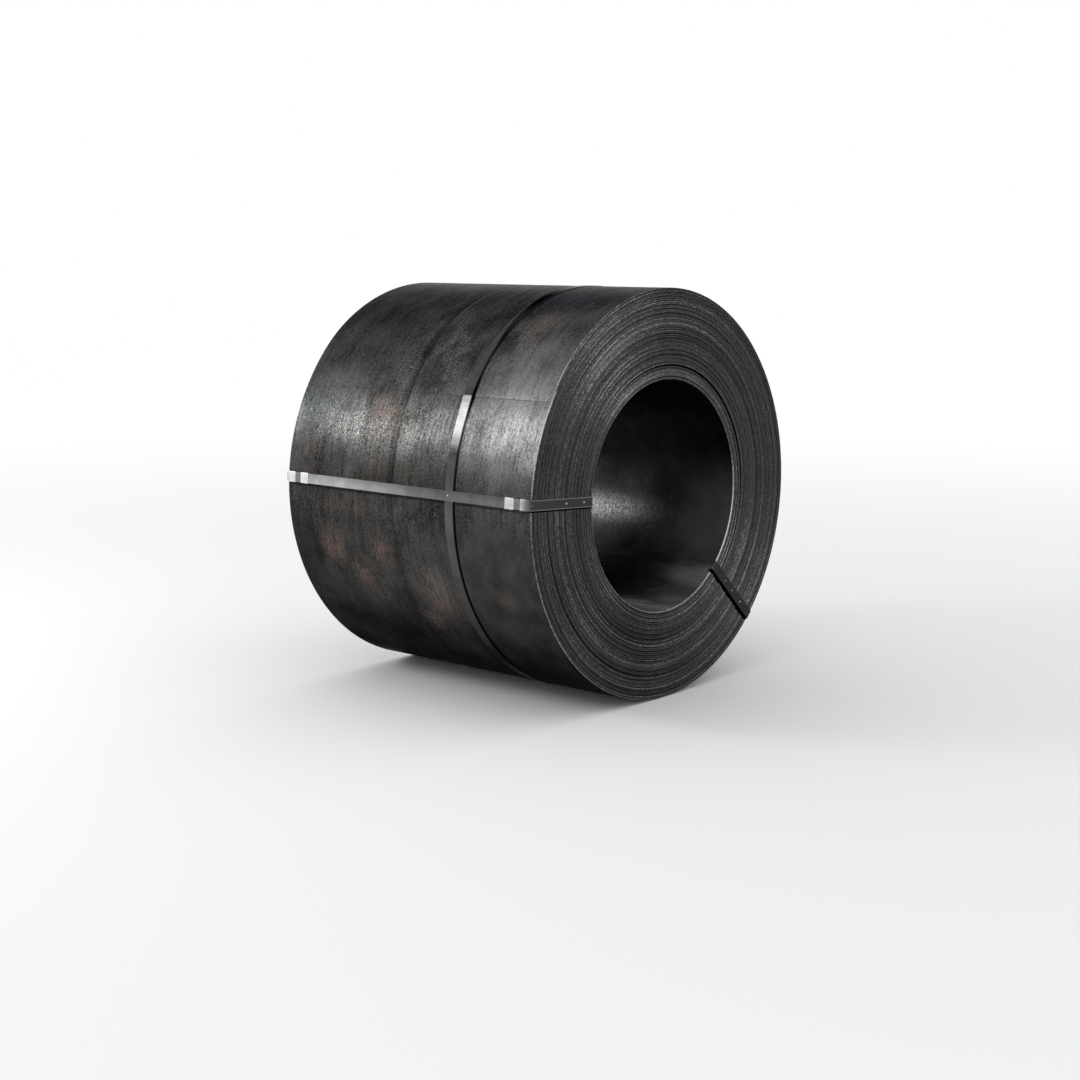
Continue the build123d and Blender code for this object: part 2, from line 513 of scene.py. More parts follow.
class WoundStrip:
    """The strip wound into the coil: one closed ribbon from its head at the bore to its tail outside."""

    def __init__(self):
        angles = numpy.arange(head_angle, tail_turn, full_turn / turn_segments)
        angles = angles[numpy.abs(angles - bore_end) > head_gap_angle]
        ends = (bore_end - head_gap_angle, bore_end, tail_turn - scarf_angle, tail_turn)
        self.angles = numpy.sort(numpy.append(angles, ends))
        self.travel = (self.angles - self.angles[0]) / (self.angles[-1] - self.angles[0])
        self.is_outer = self.angles >= tail_turn - full_turn - outer_overlap_angle
        self.is_bore = self.angles < bore_end - head_gap_angle / 2
        self.feather = numpy.clip((self.angles - tail_turn) / feather_angle + 1, 0, 1)
        # The turns stand out most on the lower left, and least on the right
        self.contrast = arc_gain(self.angles, contrast_arcs, 1)
        self.wave_phases = numpy.random.default_rng(wave_seed).uniform(0, 2 * math.pi, len(wave_rates))
        self.wind()
        self.lay_sideways()
        self.open_seams()
        self.tone_edges()
        self.points = []
        self.around = []
        self.along = []
        self.tones = []
        self.grooves = []
        self.stations = [self.lay_station(number) for number in range(len(self.angles))]

    def wind(self):
        """Inner radius of the stations, and outer radius at their near and far edge."""
        turns = numpy.floor((self.angles - tail_angle) / full_turn)
        climb = (wrap_radius(self.angles) - (outer_radius - strip_thickness)) / strip_thickness
        climb = numpy.where(self.angles >= tail_turn, 0, climb)
        self.coordinate = turns + climb
        outside = outer_radius - strip_thickness * (turn_count - self.coordinate)
        settled = numpy.clip((turn_count - 1 - self.coordinate) / 2, 0, 1)
        outside = outside + gap_wander * settled * smooth_wander(gap_knots, self.travel)
        passed_share = numpy.clip(self.coordinate / (turn_count - 1), 0, 1)
        for turn, middle, reach, width in loose_turns:
            opening = width * arc_share(self.angles, middle, reach)
            passed = numpy.floor((self.angles - middle + half_turn) / full_turn) > turn
            outside = outside + opening * (passed - passed_share)
        self.inside = numpy.where(self.is_bore, bore_radius, outside - strip_gauge)
        # The tail is cut on a slant, down to a thin toe, and is feathered out beyond the belly strap
        slant = numpy.clip((self.angles - tail_turn) / scarf_angle + 1, 0, 1)
        self.near_outside = outside - slant * (strip_gauge - scarf_toe)
        self.far_outside = outside - soft_step(self.feather) * (strip_gauge - feather_toe)

    def lay_sideways(self):
        """Places of the two edges: the part's ledges, rounded off, with the small wander of single turns."""
        ledge_count = len(ledge_shares)
        ledge_starts = [round(number * turn_count / ledge_count) for number in range(ledge_count)]
        ledges = numpy.searchsorted(ledge_starts, self.coordinate - 0.5, side="right") - 1
        shares = numpy.array(ledge_shares)[numpy.clip(ledges, 0, ledge_count - 1)]
        window = turn_segments // 4
        padded = numpy.pad(shares, window, mode="edge")
        shares = numpy.convolve(padded, numpy.ones(window) / window, mode="same")[window:-window]
        shares = 0.5 + part_ledge_share * (shares - 0.5)
        shares = shares + ledge_wander_share * smooth_wander(ledge_knots, self.travel)
        shares = shares + single_wander_share * smooth_wander(single_knots, self.travel)
        shares = numpy.clip(shares, 0, 1)
        # Towards the tail the strip comes to lie right over the turn below it
        settle = numpy.clip((self.angles - tail_turn) / tail_settle_angle + 1, 0, 1)
        below = numpy.interp(self.angles - full_turn, self.angles, shares)
        shares = shares + settle * (below - shares)
        self.near = end_inset - coil_half_width + end_wander * shares
        self.far = coil_half_width - end_inset - end_wander * (1 - shares) - rim_chamfer * self.feather
        tilt = edge_tilt * smooth_wander(tilt_knots, self.travel)
        self.tilt_out = numpy.clip(tilt, 0, None)
        self.tilt_in = numpy.clip(-tilt, 0, None)

    def open_seams(self):
        """How far the seams are open: every other one is open and dark, and the rest are tight."""
        draws = numpy.random.default_rng(seam_seed)
        open_seams = draws.uniform(*open_seam_range, seam_count)
        tight_seams = draws.uniform(*tight_seam_range, seam_count)
        seams = numpy.where(numpy.arange(seam_count) % 2, open_seams, tight_seams)
        for index in draws.integers(0, turn_count, odd_seam_count):
            seams[index] = draws.uniform(0, 1)
        seam = numpy.floor((self.angles - side_strap_angle) / full_turn).astype(int) + 1
        fading = seam_base_share + seam_wander_share * smooth_wander(seam_knots, self.travel)
        fading = fading * (1 - closed_share * arc_share(self.angles, *closed_arc))
        fading = numpy.clip(fading * self.contrast, 0, 1)
        self.lips = lip_lift * self.contrast * draws.uniform(-1, 1, seam_count)[seam]
        self.seam_outside = seams[seam] * fading
        self.seam_inside = seams[numpy.clip(seam - 1, 0, None)] * fading

    def tone_edges(self):
        """Tone of each turn's edge, with painted highlights at some angles, and the painted highlights on the
        two rims.
        """
        tone = group_tone * smooth_wander(group_tone_knots, self.travel)
        tone = tone + single_tone * smooth_wander(single_tone_knots, self.travel)
        tone = tone * numpy.minimum(self.contrast, 1)
        tone = tone + inner_tone * numpy.clip(inner_tone_turns - self.coordinate, 0, 1)
        # Painted highlights on the edges at some angles, where they catch the light
        self.tone = tone + arc_gain(self.angles, edge_highlight_arcs)
        # Painted highlights on the outer and the bore's rims
        self.outer_rim_highlight = rim_highlight_gain * self.is_outer * arc_gain(self.angles, rim_highlight_arcs, rim_highlight_base)
        self.bore_rim_highlight = rim_highlight_gain * self.is_bore * arc_gain(self.angles, bore_rim_highlight_arcs, bore_rim_highlight_base)

    def wave(self, number, share):
        """Depth of the shallow waves at a share of the width. They fade out at the edges."""
        turned = math.radians(self.angles[number])
        total = 0
        for (round_rate, along_rate), phase in zip(wave_rates, self.wave_phases):
            total += math.sin(round_rate * turned + along_rate * share + phase)
        fade = min(1, share * wave_fade_rate, (1 - share) * wave_fade_rate)
        return wave_depth * (0.5 + total / (2 * len(wave_rates))) * fade

    def put(self, number, radius, along, groove=0.0, lift=0.0):
        """A point of a station, with what the materials read there."""
        turned = math.radians(self.angles[number])
        self.points.append((radius * math.cos(turned), along, axis_height + radius * math.sin(turned)))
        self.around.append(math.radians(tail_turn - self.angles[number]) * outer_radius)
        self.along.append(along)
        self.tones.append(self.tone[number] + lift)
        self.grooves.append(groove)

    def lay_outer_face(self, number, low, high):
        """Points across the outer turn, with its waves, its crease and its feathered tail."""
        back = (tail_turn - self.angles[number] + half_turn) % full_turn - half_turn
        crease = crease_place + crease_slope * math.radians(back) * outer_radius
        near_outside = self.near_outside[number]
        drop = self.far_outside[number] - near_outside
        for share in numpy.linspace(0, 1, outer_divisions + 1)[1:-1]:
            along = low + (high - low) * share
            dip = self.wave(number, share)
            dip += crease_depth * math.exp(-(((along - crease) / crease_reach) ** 2))
            feathered = min(1, max(0, (along - belly_high.y) / feather_reach))
            self.put(number, near_outside + drop * feathered - dip, along)

    def lay_bore_wall(self, number, low, high):
        """Points along the wall of the bore, from the far end back to the near end, with its waves."""
        for share in numpy.linspace(0, 1, bore_divisions + 1)[-2:0:-1]:
            self.put(number, self.inside[number] + self.wave(number, share), low + (high - low) * share)

    def lay_station(self, number):
        """Points of one station. Returns its runs: near edge, outer face, far edge and inner face."""
        put = partial(self.put, number)
        is_bore = self.is_bore[number]
        is_outer = self.is_outer[number]
        inside = self.inside[number]
        near_outside = self.near_outside[number]
        far_outside = self.far_outside[number]
        near_inner = self.near[number] + self.tilt_in[number]
        near_outer = self.near[number] + self.tilt_out[number]
        far_inner = self.far[number] - self.tilt_in[number]
        far_outer = self.far[number] - self.tilt_out[number]
        outer_rim_highlight = self.outer_rim_highlight[number]
        bore_rim_highlight = self.bore_rim_highlight[number]
        lip = self.lips[number]
        inner_groove = 0 if is_bore else self.seam_inside[number]
        outer_groove = 0 if is_outer else self.seam_outside[number]
        inner_corner = rim_chamfer if is_bore else edge_chamfer + inner_groove * seam_opening
        outer_corner = rim_chamfer if is_outer else edge_chamfer + outer_groove * seam_opening
        near_limit = (near_outside - inside) * corner_limit_share
        far_limit = (far_outside - inside) * corner_limit_share
        near_in = min(inner_corner, near_limit)
        near_out = min(outer_corner, near_limit)
        far_in = min(inner_corner, far_limit)
        far_out = min(outer_corner, far_limit)

        start = len(self.points)
        put(inside, self.near[number] + near_in, inner_groove, bore_rim_highlight)
        put(inside + near_in, near_inner, 0, bore_rim_highlight / 2 + lip)
        put(near_outside - near_out, near_outer, 0, outer_rim_highlight * rim_highlight_face_share - lip)
        put(near_outside, near_outer + near_out, outer_groove, outer_rim_highlight)
        if is_outer:
            self.lay_outer_face(number, near_outer + near_out, far_outer - far_out)
        top = len(self.points)
        put(far_outside, far_outer - far_out, outer_groove, outer_rim_highlight * far_rim_highlight_share)
        put(far_outside - far_out, far_outer)
        put(inside + far_in, far_inner)
        bottom = len(self.points)
        put(inside, self.far[number] - far_in, inner_groove, bore_rim_highlight)
        if is_bore:
            self.lay_bore_wall(number, self.near[number] + near_in, self.far[number] - far_in)
        return (
            list(range(start, start + 4)),
            list(range(start + 3, top + 1)),
            list(range(top, bottom + 1)),
            list(range(bottom, len(self.points))) + [start],
        )

    def faces(self):
        """Faces between the stations and at the two ends, each with the number of its material."""
        faces = []
        kinds = []
        for station, following in zip(self.stations, self.stations[1:]):
            for kind, run, next_run in zip(run_kinds, station, following):
                if len(run) == len(next_run):
                    strip = list(zip(run, run[1:], next_run[1:], next_run))
                else:
                    strip = [tuple(run + next_run[::-1])]
                faces += strip
                kinds += [kind] * len(strip)
        for station, step in ((self.stations[0], -1), (self.stations[-1], 1)):
            loop = [point for run in station for point in run[:-1]]
            faces.append(tuple(loop[::step]))
            kinds.append(edge_kind)
        return faces, kinds


def build_coil():
    """The wound strip, with mill scale on its faces and bare steel on its cut edges."""
    strip = WoundStrip()
    faces, kinds = strip.faces()
    piece = add_piece("coil_strip", strip.points, faces, ["coil"])
    mesh = piece.data
    mesh.materials.append(make_scale())
    mesh.materials.append(make_edge())
    mesh.polygons.foreach_set("material_index", kinds)
    corners = numpy.zeros(len(mesh.loops), int)
    mesh.loops.foreach_get("vertex_index", corners)
    flat = numpy.column_stack((strip.around, strip.along))[corners].ravel()
    mesh.uv_layers.new(name="strip").data.foreach_set("uv", flat)
    carry(piece, "tone", strip.tones)
    carry(piece, "groove", strip.grooves)
    shade(piece, coil_sharp_angle)


def ring_faces(first, second, size):
    """Faces between two rings of points, which begin at the given numbers."""
    faces = []
    for corner in range(size):
        following = (corner + 1) % size
        faces.append((first + corner, first + following, second + following, second + corner))
    return faces


def sweep(frames, section):
    """Points and faces of a closed loop: each frame is an origin, a side and an up direction."""
    points = []
    faces = []
    size = len(section)
    for number, (origin, side, up) in enumerate(frames):
        for across, height in section:
            points.append(origin + side * across + up * height)
        following = (number + 1) % len(frames)
        faces += ring_faces(number * size, following * size, size)
    return points, faces


def strap_section(width, thickness):
    """Flat strap with rolled edges, from its inner face outwards."""
    half = width / 2
    roll = thickness * strap_roll_share
    return [
        (-half + roll, 0),
        (half - roll, 0),
        (half, roll),
        (half, thickness - roll),
        (half - roll, thickness),
        (-half + roll, thickness),
        (-half, thickness - roll),
        (-half, roll),
    ]


def loop_frames(path, origin, first, second, side):
    """Frames along a closed path of pairs, in the plane of two directions, with up to the outside."""
    frames = []
    for number, (a, b) in enumerate(path):
        before = path[number - 1]
        after = path[(number + 1) % len(path)]
        run = Vector((after[0] - before[0], after[1] - before[1])).normalized()
        up = first * run.y - second * run.x
        frames.append((origin + first * a + second * b, side, up))
    return frames


def arc(centre, radius, start, end, step=arc_step):
    """Points of an arc, ends included."""
    count = max(2, math.ceil(abs(end - start) / step))
    path = []
    for number in range(count + 1):
        turned = math.radians(start + (end - start) * number / count)
        path.append((centre[0] + radius * math.cos(turned), centre[1] + radius * math.sin(turned)))
    return path


def between(first, second, margin):
    """Two points inside a straight run, a margin from its ends, which keep it flat."""
    run = Vector((second[0] - first[0], second[1] - first[1]))
    step = run.normalized() * margin
    return [(first[0] + step.x, first[1] + step.y), (second[0] - step.x, second[1] - step.y)]


def add_domes(points, faces, domes):
    """Low round pips: centre, two directions in the surface, the direction up and a share of the size."""
    for centre, first, second, up, share in domes:
        start = len(points)
        for ring, lift in pip_rings:
            for number in range(pip_sides):
                turned = 2 * math.pi * number / pip_sides
                flat = first * math.cos(turned) + second * math.sin(turned)
                points.append(centre + flat * pip_radius * share * ring + up * pip_height * share * lift)
        top = len(points)
        points.append(centre + up * pip_height * share)
        last = top - pip_sides
        for low in range(start, last, pip_sides):
            faces.extend(ring_faces(low, low + pip_sides, pip_sides))
        for number in range(pip_sides):
            faces.append((last + number, last + (number + 1) % pip_sides, top))
        faces.append(tuple(range(start + pip_sides - 1, start - 1, -1)))


def build_belly_strap(material):
    """Strap round the outside, straight from the tail's edge to the turn below and over its seal."""
    seat = outer_radius + strap_clearance
    lower_seat = lower_wrap_radius + strap_clearance
    lower_centre = outward(tail_angle + half_turn) * wrap_offset
    lower_centre = (lower_centre.x, lower_centre.z)
    bridge = math.degrees(math.acos(lower_seat / (seat + wrap_offset)))
    seal_seat = seat + seal_wall + strap_clearance
    seal_end = math.hypot(seal_seat, seal_length / 2)
    seal_half = math.degrees(math.atan2(seal_length / 2, seal_seat))
    lift_half = seal_half + math.degrees(math.acos(seat / seal_end))
    path = arc((0, 0), seat, tail_angle - half_turn, belly_seal_angle - lift_half)
    rise = arc((0, 0), seal_end, belly_seal_angle - seal_half, belly_seal_angle + seal_half, quarter_turn)
    path += between(path[-1], rise[0], belly_margin)
    path += [rise[0]] + between(rise[0], rise[-1], belly_margin) + [rise[-1]]
    upper = arc((0, 0), seat, belly_seal_angle + lift_half, tail_angle)
    path += between(rise[-1], upper[0], belly_margin) + upper
    lower = arc(lower_centre, lower_seat, tail_angle + bridge, tail_angle + half_turn)
    path += between(upper[-1], lower[0], belly_margin) + lower[:-1]
    origin = Vector((0, belly_place, axis_height))
    frames = loop_frames(path, origin, rightward, upward, lengthwise)
    points, faces = sweep(frames, strap_section(belly_strap_width, strap_thickness * belly_share))
    piece = add_piece("belly_strap_steel", points, faces, ["belly_strap"])
    piece.data.materials.append(material)
    shade(piece, belly_sharp_angle)


def eye_strap_seat(angle):
    """Distance from the axis to an eye strap's inner face, over the belly strap."""
    return float(wrap_radius(angle)) + 2 * strap_clearance + strap_thickness


def build_eye_strap(name, angle, material, pip_material, pips, crossing_pip):
    """Strap through the bore, with its pips."""
    seat = eye_strap_seat(angle)
    bore_seat = math.sqrt(bore_radius**2 - (eye_strap_width / 2) ** 2) - strap_clearance
    end = coil_half_width - end_inset + strap_clearance / 2
    thickness = strap_thickness * eye_share
    bends = (
        ((seat - eye_bend, eye_bend - end), -quarter_turn),
        ((seat - eye_bend, end - eye_bend), 0),
        ((bore_seat + eye_bend, end - eye_bend), quarter_turn),
        ((bore_seat + eye_bend, eye_bend - end), half_turn),
    )
    path = []
    for centre, start in bends:
        bend = arc(centre, eye_bend, start, start + quarter_turn, eye_bend_step)
        if path:
            path += between(path[-1], bend[0], eye_margin)
        path += bend
    path += between(path[-1], path[0], eye_margin)
    away = outward(angle)
    side = outward(angle + quarter_turn)
    frames = loop_frames(path, bore_axis, away, lengthwise, side)
    points, faces = sweep(frames, strap_section(eye_strap_width, thickness)[::-1])
    domes = []
    for radius, share in pips:
        domes.append((place(radius, angle, -end - thickness), away, side, -lengthwise, share))
    if crossing_pip:
        spot = place(seat + thickness, angle, belly_place + crossing_pip_offset)
        domes.append((spot, lengthwise, side, away, crossing_pip_share))
    strap_faces = len(faces)
    add_domes(points, faces, domes)
    piece = add_piece(name + "_steel", points, faces, [name])
    piece.data.materials.append(material)
    piece.data.materials.append(pip_material)
    for face in piece.data.polygons[strap_faces:]:
        face.material_index = 1
    shade(piece, fitting_sharp_angle)


def seal_section(strap_width, press, squeeze, trim):
    """Loop round a seal's sleeve: outside from seam to seam, then back along the inside."""
    inner_half = strap_width / 2 + strap_clearance - squeeze
    inner_low = -strap_thickness / 2 - strap_clearance
    inner_high = strap_thickness / 2 + strap_clearance - press
    half = inner_half + seal_wall - trim
    low = inner_low - seal_wall + trim
    high = inner_high + seal_wall - trim
    seam_half = seal_seam / 2
    loop = [(-seam_half, low)]
    for x, y, start in ((-half, low, 270), (-half, high, 180), (half, high, 90), (half, low, 0)):
        centre = (x - math.copysign(seal_round, x), y - math.copysign(seal_round, y))
        loop += arc(centre, seal_round, start, start - quarter_turn, seal_round_step)
    in_half = inner_half + trim / 2
    in_low = inner_low - trim / 2
    in_high = inner_high + trim / 2
    return loop + [
        (seam_half, low),
        (seam_half, in_low),
        (in_half, in_low),
        (in_half, in_high),
        (0, in_high),
        (-in_half, in_high),
        (-in_half, in_low),
        (-seam_half, in_low),
    ]


def build_seal(name, origin, run, out, strap_width, material):
    """Folded sleeve with a pressed band in its middle and an open seam underneath."""
    side = out.cross(run)
    half_length = seal_length / 2
    half_crimp = crimp_width / 2
    # Stations from the middle to an end: place, shares of the press and the squeeze, trim
    half_stations = [
        (half_crimp - crimp_ease, 1, 1, 0),
        (half_crimp, 0.96, 0.9, 0),
        (half_crimp + crimp_slope, 0.04, 0.04, 0),
        (half_crimp + crimp_slope + crimp_ease, 0, 0, 0),
        (half_length - seal_edge, 0, 0, 0),
        (half_length, 0, 0, seal_trim),
    ]
    mirrored_stations = [(-station, *rest) for station, *rest in half_stations[::-1]]
    stations = mirrored_stations + [(0, 1, 0.85, 0)] + half_stations
    points = []
    faces = []
    grooves = []
    for station, press_share, squeeze_share, trim in stations:
        loop = seal_section(strap_width, press_depth * press_share, squeeze_depth * squeeze_share, trim)
        size = len(loop)
        grooves += [press_share] * size
        for across, height in loop:
            points.append(origin + run * station + side * across + out * height)
    last = (len(stations) - 1) * size
    for low in range(0, last, size):
        for corner in range(size):
            next_corner = (corner + 1) % size
            faces.append((low + corner, low + size + corner, low + size + next_corner, low + next_corner))
    faces.append(tuple(range(size)))
    faces.append(tuple(range(last + size - 1, last - 1, -1)))
    piece = add_piece(name + "_steel", points, faces, [name])
    piece.data.materials.append(material)
    carry(piece, "groove", grooves)
    shade(piece, fitting_sharp_angle)


class Nodes:
    """The nodes of one material, and its surface shader."""

    def __init__(self, name):
        self.material = bpy.data.materials.new(name)
        self.material.use_nodes = True
        self.tree = self.material.node_tree
        self.shader = self.tree.nodes["Principled BSDF"]
        self.spot = self.add("ShaderNodeNewGeometry").outputs["Position"]
        parts = self.split(self.spot)
        self.along = parts[1]
        self.height = parts[2]

    def add(self, kind, **settings):
        """A new node with its settings."""
        node = self.tree.nodes.new(kind)
        for name, value in settings.items():
            setattr(node, name, value)
        return node

    def feed(self, socket, value):
        """Links a socket to another, or sets a plain value."""
        if isinstance(value, bpy.types.NodeSocket):
            self.tree.links.new(value, socket)
        else:
            socket.default_value = value

    def set(self, name, value):
        """Links or sets an input of the surface shader."""
        self.feed(self.shader.inputs[name], value)

    def split(self, vector):
        """The three parts of a vector."""
        node = self.add("ShaderNodeSeparateXYZ")
        self.feed(node.inputs[0], vector)
        return node.outputs

    def uv(self, name):
        """Places that the mesh carries in a UV layer."""
        return self.add("ShaderNodeUVMap", uv_map=name).outputs["UV"]

    def attribute(self, name):
        """A value that the mesh carries at its points."""
        return self.add("ShaderNodeAttribute", attribute_name=name).outputs["Fac"]

    def compute(self, operation, first, second=0.0):
        """One operation on two values."""
        node = self.add("ShaderNodeMath", operation=operation)
        self.feed(node.inputs[0], first)
        self.feed(node.inputs[1], second)
        return node.outputs[0]

    # Sum, difference and greater of two values, and a value without its sign
    plus = partialmethod(compute, "ADD")
    minus = partialmethod(compute, "SUBTRACT")
    most = partialmethod(compute, "MAXIMUM")
    size = partialmethod(compute, "ABSOLUTE")

    def times(self, first, *others):
        """Product of values."""
        for other in others:
            first = self.compute("MULTIPLY", first, other)
        return first

    def vector(self, operation, first, second=(0, 0, 0)):
        """One operation on two vectors."""
        node = self.add("ShaderNodeVectorMath", operation=operation)
        self.feed(node.inputs[0], first)
        self.feed(node.inputs[1], second)
        return node.outputs["Value" if operation in ("LENGTH", "DOT_PRODUCT") else "Vector"]

    def spread(self, value, low, high, to_low=0.0, to_high=1.0):
        """Maps a value from one range to another with soft ends."""
        node = self.add("ShaderNodeMapRange", interpolation_type="SMOOTHSTEP")
        self.feed(node.inputs["Value"], value)
        node.inputs["From Min"].default_value = low
        node.inputs["From Max"].default_value = high
        node.inputs["To Min"].default_value = to_low
        node.inputs["To Max"].default_value = to_high
        return node.outputs["Result"]

    def by_height(self, heights, to_low=0.0, to_high=1.0):
        """Spreads between two heights over the bore axis."""
        low, high = heights
        return self.spread(self.height, axis_height + low, axis_height + high, to_low, to_high)

    def band(self, value, middle, line):
        """1 along a line beside a middle, with soft sides."""
        low, high, softness = line
        rise = self.spread(value, middle + low - softness, middle + low)
        fall = self.spread(value, middle + high + softness, middle + high)
        return self.times(rise, fall)

    def noise(self, texture, vector=None):
        """Noise over the places in space, or over another vector."""
        cells, detail, roughness, shift = texture
        scaled = self.vector("MULTIPLY", self.spot if vector is None else vector, cells)
        moved = self.vector("ADD", scaled, [shift * share for share in shift_shares])
        node = self.add("ShaderNodeTexNoise")
        node.inputs["Scale"].default_value = 1.0
        node.inputs["Detail"].default_value = detail
        node.inputs["Roughness"].default_value = roughness
        self.feed(node.inputs["Vector"], moved)
        return node.outputs["Fac"]

    def calm(self, texture, mask, keep):
        """Takes the contrast out of a texture where a mask is 1."""
        swing = self.times(self.minus(texture, 0.5), self.spread(mask, 0.0, 0.6, 1.0, keep))
        return self.plus(swing, 0.5)

    def ramp(self, value, stops):
        """Colours along a value."""
        node = self.add("ShaderNodeValToRGB")
        self.feed(node.inputs["Fac"], value)
        elements = node.color_ramp.elements
        while len(elements) < len(stops):
            elements.new(0.5)
        for element, (position, colour) in zip(elements, stops):
            element.position = position
            element.color = colour
        return node.outputs["Color"]

    def blend(self, colour, other, factor, amount=1.0):
        """Mixes another colour into a colour, by a factor and an amount."""
        node = self.add("ShaderNodeMix", data_type="RGBA")
        # Sockets 6 and 7 take the two colours, and output 2 gives the mixed one
        self.feed(node.inputs["Factor"], self.times(factor, amount))
        self.feed(node.inputs[6], colour)
        self.feed(node.inputs[7], other)
        return node.outputs[2]

    def bump(self, height, strength, depth, normal=None):
        """Bumps of a texture, on top of earlier ones."""
        node = self.add("ShaderNodeBump")
        node.inputs["Strength"].default_value = strength
        node.inputs["Distance"].default_value = depth
        self.feed(node.inputs["Height"], height)
        if normal is not None:
            self.feed(node.inputs["Normal"], normal)
        return node.outputs["Normal"]

    def patch(self, strip, angle, along, half_angle, half_along):
        """Soft oval on the outer turn, 1 in its middle. It is carried on past the tail."""
        away = self.vector("SUBTRACT", strip, (turned_length(angle), along, 0))
        wrap = self.add("ShaderNodeVectorMath", operation="WRAP")
        self.feed(wrap.inputs[0], away)
        wrap.inputs[1].default_value = (outer_half_round, 1, 1)
        wrap.inputs[2].default_value = (-outer_half_round, -1, -1)
        reach = (math.radians(half_angle) * outer_radius, half_along, 1)
        away = self.vector("DIVIDE", wrap.outputs["Vector"], reach)
        return self.spread(self.vector("LENGTH", away), 1.0, 0.0)

    def patches(self, strip, patches):
        """The strongest of several soft ovals at each spot of the outer turn."""
        total = 0.0
        for *oval, weight in patches:
            total = self.most(total, self.times(self.patch(strip, *oval), weight))
        return total

    def bore_patches(self, patches):
        """The strongest of several soft ovals at each spot of the bore's wall."""
        total = 0.0
        for angle, along, half_angle, half_along, weight in patches:
            away = self.vector("SUBTRACT", self.spot, (0, along, axis_height))
            half_across = bore_radius * math.sin(math.radians(half_angle))
            joined = self.add("ShaderNodeCombineXYZ")
            across = outward(angle + quarter_turn) / half_across
            self.feed(joined.inputs[0], self.vector("DOT_PRODUCT", away, across))
            self.feed(joined.inputs[1], self.vector("DOT_PRODUCT", away, lengthwise / half_along))
            patch = self.spread(self.vector("LENGTH", joined.outputs[0]), 1.0, 0.0)
            ahead = self.vector("DOT_PRODUCT", away, outward(angle))
            patch = self.times(patch, self.spread(ahead, 0, bore_radius / 2, 0, weight))
            total = self.most(total, patch)
        return total


def bore_dust(nodes):
    """Pale dust that lies on the floor of the bore, thicker towards the near end."""
    dust = nodes.spread(nodes.bore_patches(dust_patches), 0.0, 0.8)
    return nodes.times(dust, nodes.spread(nodes.noise(dust_texture), 0.34, 0.60, 0.45, 0.9))


def bore_film(nodes):
    """Thin film of dust on the side walls and the floor of the bore."""
    film = nodes.times(nodes.by_height(film_heights), nodes.spread(nodes.along, *film_ends))
    return nodes.times(film, nodes.spread(nodes.noise(film_texture), 0.35, 0.60, 0.3, 0.8))


def painted_strap_shadows(nodes):
    """Painted shadows along the lower edges of the straps on the ends."""
    from_axis = nodes.vector("SUBTRACT", nodes.spot, bore_axis)
    fray = nodes.minus(nodes.noise(fray_texture), 0.5)
    total = 0.0
    for angle, line, frayed in strap_shadow_lines:
        across = nodes.vector("DOT_PRODUCT", from_axis, outward(angle + quarter_turn))
        across = nodes.plus(across, nodes.times(fray, frayed))
        ahead = nodes.vector("DOT_PRODUCT", from_axis, outward(angle))
        strap_shadow = nodes.times(nodes.band(across, 0, line), nodes.spread(ahead, *strap_shadow_reach))
        total = nodes.most(total, strap_shadow)
    return total


